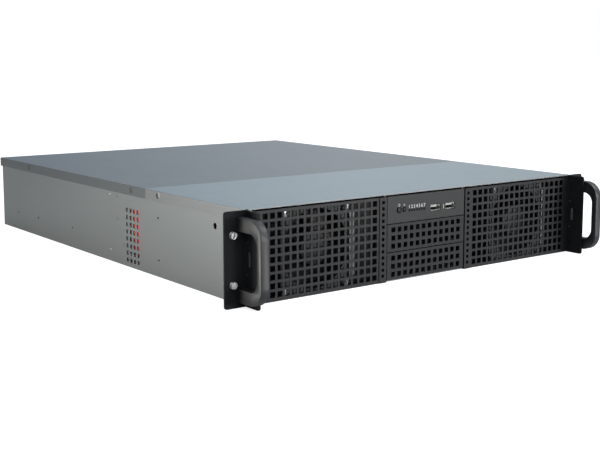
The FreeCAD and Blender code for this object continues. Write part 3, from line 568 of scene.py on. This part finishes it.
def rotor(side):
    """Hub with a rounded face and seven cambered, twisted blades, about the fan's axis."""
    shape = turned([(0, 0), (HUB - 1.6, 0), (HUB - 0.5, 0.5), (HUB, 1.6), (HUB, HUB_LENGTH),
                    (0, HUB_LENGTH)], 48)
    bmesh.ops.rotate(shape, cent=(0, 0, 0), matrix=Matrix.Rotation(-math.pi / 2, 3, "X"),
                     verts=shape.verts)
    for blade in range(BLADES):
        loops = []
        for number in range(SECTIONS):
            reach = number / (SECTIONS - 1)
            radius = ROOT + (TIP - ROOT) * reach
            lead = 2 * math.pi * blade / BLADES + SWEEP * reach
            points = []
            for across, along in blade_section(reach):
                turn = lead + across / radius
                points.append(shape.verts.new((radius * math.sin(turn) * MM,
                                               (BLADE_MIDDLE + along) * MM,
                                               radius * math.cos(turn) * MM)))
            loops.append([shape.edges.new(pair) for pair in zip(points, points[1:] + points[:1])])
        for inner, outer in zip(loops, loops[1:]):
            bmesh.ops.bridge_loops(shape, edges=inner + outer)
        for end in (loops[0], loops[-1]):
            bmesh.ops.contextual_create(shape, geom=end)
    node = "fan_rotor_" + side
    low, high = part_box(node)
    centre = Vector(((low.x + high.x) / 2, low.y, FAN_UP * MM))
    bmesh.ops.translate(shape, vec=centre, verts=shape.verts)
    mesh = to_mesh(node + "_turned", shape)
    piece = add_piece(node + "_turned", mesh, BODY_OF[node], SLOT_OF[node], FAN_BLACK)
    smooth_turned(piece, 40)
    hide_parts(node)


# ---------------------------------------------------------------- screws
LEFT, RIGHT = (-1, 0, 0), (1, 0, 0)
FRONTWARD, UPWARD = (0, -1, 0), (0, 0, 1)
SIDES = (("left", -1), ("right", 1))
WALLS = ((-1, LEFT), (1, RIGHT))
FAN_HOLES = 35.75           # from the fan's axis, across and up
FAN_SCREW_SEAT = 5          # behind the front panels' face
LID_SCREWS = {"front": (155,), "rear": (209.7, 475.5)}
LID_SCREW_UP = 82.4
COLLAR_FACE = -0.3          # where a rack screw's neck meets its collar


def fan_fasteners():
    """Pan-head screws in the corners of the front fans, with their long shanks."""
    for side, sign in SIDES:
        places = [(at(sign * FAN_CENTRE + across * FAN_HOLES, FAN_SCREW_SEAT, FAN_UP + up * FAN_HOLES),
                   FRONTWARD, 0.3 * across) for across in (-1, 1) for up in (-1, 1)]
        fasten("fan_screws_%s_turned" % side, pan_head(4.3, 2.4, 1.9, 27.4), places, "case",
               node="fan_screws_" + side)


def lid_fasteners():
    """Flat cross-head screws in the lids' side flanges."""
    for lid, spots in LID_SCREWS.items():
        places = [(at(side * LID_SIDE, spot, LID_SCREW_UP), direction, 0.4 * spot)
                  for side, direction in WALLS for spot in spots]
        fasten("lid_screws_%s_turned" % lid, pan_head(2.5, 0.7, 1.5, 1.9), places, lid + "_lid",
               node="lid_screws_" + lid, material=DULL_PLATING)


def rack_fasteners():
    """Captive rack screws: collar, ribbed knob with a slot, neck and shank."""
    for side in ("left", "right"):
        for level, lift in (("lower", -1), ("upper", 1)):
            node = "thumb_screw_%s_%s" % (side, level)
            stem = turned([(0, -12.3), (1.9, -12.3), (2.5, -11.6), (2.5, -3.3), (2.2, -3.2),
                           (2.2, 0), (3.6, 0), (3.6, 0.6), (3.4, 0.8), (0, 0.8)])
            knob = knurled_head(3.4, 2.25, 18, 2.5)
            low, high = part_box(node)
            centre = Vector(((low.x + high.x) / 2, (FRONT + COLLAR_FACE) * MM, (low.z + high.z) / 2))
            fasten(node + "_turned", joined([(stem, 0), (knob, 0.75)]),
                   [(centre, FRONTWARD, 0.6 * lift + 0.5)], BODY_OF[node], node=node)


# ---------------------------------------------------------------- rivets, dimples and welds
RIVETS = ((243.3, 72.7), (243.4, 48.3), (230.1, 22.1), (370.1, 67.1))   # along and up
DIMPLES = ((261.2, 72.7), (261.5, 12.3))                                # along and up
SPOT_WELDS = ((-54.8, 167.7), (-51.8, 97.9))                            # across and along
SUNK = -0.3                 # small marks are rooted this deep in what carries them


def wall_marks():
    """Low rivets, each in a darker ring of painted shade for the groove round it, and pressed dimples, the
    same on both side walls.
    """
    rivets = [(at(side * WALL, along, up), direction, 0)
              for side, direction in WALLS for along, up in RIVETS]
    dimples = [(at(side * WALL, along, up), direction, 0)
               for side, direction in WALLS for along, up in DIMPLES]
    # Painted shade: this darker ring stands for the shaded groove round the rivet, which the wall itself
    # lacks.
    shade_ring = turned([(0, SUNK), (1.55, SUNK), (1.55, 0.02), (1.5, 0.03), (0, 0.03)], 20)
    fasten("rivet_groove_shades", shade_ring, rivets, "case", "galvanised_steel", material=GROOVE_SHADE)
    head = turned([(0, SUNK), (1.15, SUNK), (1.15, 0.06), (0.95, 0.2), (0.5, 0.26), (0, 0.27)], 20)
    fasten("rivet_heads", head, rivets, "case", "galvanised_steel")
    bump = turned([(0, SUNK), (1.6, SUNK), (1.6, 0), (1.3, 0.14), (0.7, 0.24), (0, 0.26)], 24)
    fasten("wall_dimples", bump, dimples, "case", "galvanised_steel")


def lid_marks():
    """Spot welds on the front lid's top, and the pressed rings round its screws."""
    weld = turned([(0, SUNK), (0.9, SUNK), (0.9, 0), (0.5, 0.05), (0, 0.06)], 20)
    welds = [(at(across, along, LID_TOP), UPWARD, 0) for across, along in SPOT_WELDS]
    fasten("lid_marks", weld, welds, "front_lid", "lid_steel", material=BRACKET_STEEL)
    ring = turned([(0, SUNK), (4.6, SUNK), (4.6, 0.0), (4.3, 0.08), (3.9, 0.1), (3.5, 0.06),
                   (3.3, 0.02), (0, 0.02)], 40)
    rings = [(at(side * LID_SIDE, spot, LID_SCREW_UP - 0.1), direction, 0)
             for side, direction in WALLS for spot in LID_SCREWS["front"]]
    fasten("screw_dimples", ring, rings, "front_lid", "lid_steel", material=FRONT_LID_STEEL)


# ---------------------------------------------------------------- controls on the panel
PANEL_FACE = -0.2
BUTTONS = (("power", -37.4, 2.2), ("reset", -30.6, 1.5))     # across, and the cap's radius
BUTTON_UP = 70.4
LAMPS = [-23.8 + 3.4 * number for number in range(7)]
LAMP_UP = 69
NUMBER_UP = 71.1
SOCKETS = (12, 32.9)
CONTACTS = (-3.5, -1.15, 1.15, 3.5)                          # across a socket's tongue


def ink(name, mesh):
    """Printed mark on the panel, under a tenth of a millimetre proud."""
    add_piece(name, mesh, "case", "white_plastic", WHITE_INK)


def lamp_numbers():
    """Plain numbers printed over the lamps."""
    whole = bmesh.new()
    for number, across in enumerate(LAMPS, start=1):
        text = bpy.data.curves.new("number", "FONT")
        text.body = str(number)
        text.size = 4.7 * MM
        text.offset = 0.1 * MM
        text.align_x = "CENTER"
        text.extrude = 0.03 * MM
        text.resolution_u = 3
        holder = bpy.data.objects.new("number", text)
        mesh = bpy.data.meshes.new_from_object(holder)
        before = len(whole.verts)
        whole.from_mesh(mesh)
        whole.verts.ensure_lookup_table()
        upright = Matrix.Rotation(math.pi / 2, 4, "X")
        spot = Matrix.Translation(at(across, PANEL_FACE - 0.01, NUMBER_UP)) @ upright
        bmesh.ops.transform(whole, matrix=spot, verts=whole.verts[before:])
        bpy.data.objects.remove(holder)
        bpy.data.curves.remove(text)
        bpy.data.meshes.remove(mesh)
    ink("lamp_numbers", to_mesh("lamp_numbers", whole))


def flat_ring(outer, inner):
    """Thin ring for a printed mark."""
    return turned([(inner, -0.1), (outer, -0.1), (outer, 0.04), (inner, 0.04), (inner, -0.1)], 28)


def panel_marks():
    """Rings printed over the buttons, and a bar between the sockets."""
    power, reset = BUTTONS[0][1], BUTTONS[1][1]
    for name, across, up, outer, inner in (("power_mark", power, 75.2, 1.35, 0.9),
                                           ("reset_mark", reset, 75.0, 0.9, 0.55)):
        place = (at(across, PANEL_FACE, up), FRONTWARD, 0)
        ink(name, scattered(name, flat_ring(outer, inner), [place]))
    bar = bmesh.new()
    block(bar, at(23.3, PANEL_FACE, 68.8), (0.8, 0.14, 4.2))
    ink("socket_mark", to_mesh("socket_mark", bar))


def buttons():
    """Domed caps standing for the buttons, with their collars and stems, each in a pitch-black ring of
    painted shade for the gap of its hole.
    """
    for name, across, radius in BUTTONS:
        node = name + "_button"
        hole, collar, lip = radius + 0.45, radius + 0.55, radius + 1.0
        cap = turned([(0, -6.9), (1, -6.9), (1, -1.5), (collar, -1.5), (collar, -0.6),
                      (radius, -0.6), (radius, 1.55), (0.82 * radius, 1.9), (0.5 * radius, 2.0),
                      (0.42 * radius, 1.85), (0, 1.8)], 32)
        fasten(node + "_turned", cap, [(at(across, 1.0, BUTTON_UP), FRONTWARD, 0)], BODY_OF[node],
               SLOT_OF[node], node)
        # Painted shade: a pitch-black ring stands for the dark gap of the hole round the cap.
        hole_shade_ring = turned([(hole, SUNK), (lip, SUNK), (lip, 0.1), (radius + 0.8, 0.25),
                        (collar, 0.25), (hole, 0.1), (hole, SUNK)], 32)
        fasten(name + "_bezel", hole_shade_ring, [(at(across, PANEL_FACE, BUTTON_UP), FRONTWARD, 0)], "case",
               "black_plastic", material=HOLE_SHADE)


def lamp_bezels():
    """Pitch-black rings round the lamps' light pipes: painted shade for the dark gaps of their holes."""
    # Painted shade: a pitch-black ring stands for the dark gap round each light pipe.
    hole_shade_ring = turned([(0.95, SUNK), (1.25, SUNK), (1.25, 0.06), (0.95, 0.06), (0.95, SUNK)], 16)
    places = [(at(across, PANEL_FACE, LAMP_UP), FRONTWARD, 0) for across in LAMPS]
    fasten("lamp_bezels", hole_shade_ring, places, "case", "black_plastic", material=HOLE_SHADE)


def sockets():
    """Contact tongues with their four strips, and dark backs to the sockets."""
    tongues, strips, backs = bmesh.new(), bmesh.new(), bmesh.new()
    for across in SOCKETS:
        block(tongues, at(across, 7.8, 69.9), (10.4, 9.6, 1.8))
        block(backs, at(across, 13.2, 68.8), (12.4, 1.2, 5.0))
        for contact in CONTACTS:
            block(strips, at(across + contact, 7.6, 68.96), (1.0, 8.4, 0.12))
    mesh = to_mesh("usb_tongues_shaped", tongues)
    piece = add_piece("usb_tongues_shaped", mesh, "case", "white_plastic")
    soften(piece, 0.25, 2)
    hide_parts("usb_tongues")
    add_piece("usb_contacts", to_mesh("usb_contacts", strips), "case", "brass")
    add_piece("usb_backs", to_mesh("usb_backs", backs), "case", "black_plastic")
    for side in ("left", "right"):
        edged("usb_socket_" + side, 0.12)


dress_case()
holder_grips()
lid_cut_edge()
for fan_side in ("left", "right"):
    rotor(fan_side)
fan_fasteners()
lid_fasteners()
rack_fasteners()
wall_marks()
lid_marks()
lamp_numbers()
panel_marks()
buttons()
lamp_bezels()
sockets()


# ---------------------------------------------------------------- plain finishes on what is left
for node, piece in nodes.items():
    paint(piece, MATERIALS[SLOT_OF[node]])


# ---------------------------------------------------------------- floor, light and camera
def floor():
    """Pale floor; the glow that whitens it is seen by the camera only, and lights nothing."""
    shape = bmesh.new()
    bmesh.ops.create_grid(shape, x_segments=1, y_segments=1, size=30)
    plane = bpy.data.objects.new("floor", to_mesh("floor", shape))
    bpy.context.scene.collection.objects.link(plane)
    pale = Finish("pale_floor", (0.6, 0.6, 0.6), 0.9, specular=0.1)
    pale.shader.inputs["Emission Color"].default_value = (0.85, 0.85, 0.85, 1)
    seen = pale.tree.nodes.new("ShaderNodeLightPath").outputs["Is Camera Ray"]
    pale.tree.links.new(seen, pale.shader.inputs["Emission Strength"])
    paint(plane, pale.made)


def softbox(name, place, size, power, aim=(0, 0, 0.04), colour=(1, 1, 1)):
    """Area light at a place, turned to face its aim."""
    lamp = bpy.data.lights.new(name, "AREA")
    lamp.shape = "RECTANGLE"
    lamp.size, lamp.size_y = size
    lamp.energy = power
    lamp.color = colour
    box = bpy.data.objects.new(name, lamp)
    box.location = place
    box.rotation_euler = (Vector(aim) - Vector(place)).to_track_quat("-Z", "Y").to_euler()
    box.visible_camera = False
    bpy.context.scene.collection.objects.link(box)


# The mirrored room: its colours from dead against ROOM_HEADING (-1) round to dead along it (1).
ROOM_HEADING = (0.906, -0.42, 0)
ROOM = ((-1.0, (0.075, 0.077, 0.075)), (-0.3, (0.115, 0.12, 0.12)), (-0.05, (0.43, 0.51, 0.6)),
        (0.25, (0.88, 0.96, 1.05)), (0.8, (0.56, 0.58, 0.6)), (1.0, (0.12, 0.125, 0.13)))


def studio():
    """White backdrop for the camera; the steel mirrors a dimmer room, darker to the left and the rear."""
    world = bpy.data.worlds.new("studio")
    world.use_nodes = True
    tree = world.node_tree
    room = tree.nodes["Background"]
    backdrop = tree.nodes.new("ShaderNodeBackground")
    backdrop.inputs["Color"].default_value = (1, 1, 1, 1)
    heading = tree.nodes.new("ShaderNodeVectorMath")
    heading.operation = "DOT_PRODUCT"
    heading.inputs[1].default_value = ROOM_HEADING
    direction = tree.nodes.new("ShaderNodeTexCoord").outputs["Generated"]
    tree.links.new(direction, heading.inputs[0])
    shade = tree.nodes.new("ShaderNodeValToRGB")
    stops = shade.color_ramp.elements
    for number, (turn, colour) in enumerate(ROOM):
        stop = stops[number] if number < 2 else stops.new(1)
        stop.position = (turn + 1) / 2
        stop.color = (*colour, 1)
    tree.links.new(ramp(tree, heading.outputs["Value"], -1, 1), shade.inputs["Fac"])
    tree.links.new(shade.outputs["Color"], room.inputs["Color"])
    either = tree.nodes.new("ShaderNodeMixShader")
    seen = tree.nodes.new("ShaderNodeLightPath").outputs["Is Camera Ray"]
    tree.links.new(seen, either.inputs[0])
    tree.links.new(room.outputs[0], either.inputs[1])
    tree.links.new(backdrop.outputs[0], either.inputs[2])
    tree.links.new(either.outputs[0], tree.nodes["World Output"].inputs["Surface"])
    bpy.context.scene.world = world
    bpy.context.scene.view_settings.view_transform = "Standard"


def lamps():
    """Softboxes round the case, and a tiny lamp inside it that lights the red by the left vent."""
    softbox("key", (-1.3, -1.2, 1.3), (0.9, 0.9), 10)
    softbox("wall_front", (-1.3, 0.45, 0.13), (0.5, 0.22), 7.5, aim=(-0.22, -0.15, 0.04),
            colour=(1, 0.97, 0.92))
    softbox("inner", at(-215.8, 229, 42), (0.03, 0.06), 0.007, aim=at(-190, 229, 42))
    softbox("fill", (0.95, -1.99, 0.14), (0.8, 0.24), 15, aim=(-0.22, -0.29, 0.04))
    softbox("fold", (1.1, -0.9, 1.5), (0.8, 0.8), 10, aim=(0, -0.27, 0.08))


def camera():
    """The photograph's view, from the left front and a little above."""
    lens = bpy.data.cameras.new("camera")
    lens.sensor_width = 36.0
    lens.lens = 63.7
    lens.shift_y = -0.0667
    eye = bpy.data.objects.new("camera", lens)
    eye.location = at(-734.2, -767.2, 227.1)
    heading, down = math.radians(36.86), math.radians(7.28)
    eye.rotation_euler = (math.pi / 2 - down, 0, -heading)
    bpy.context.scene.collection.objects.link(eye)
    bpy.context.scene.camera = eye


floor()
studio()
lamps()
camera()
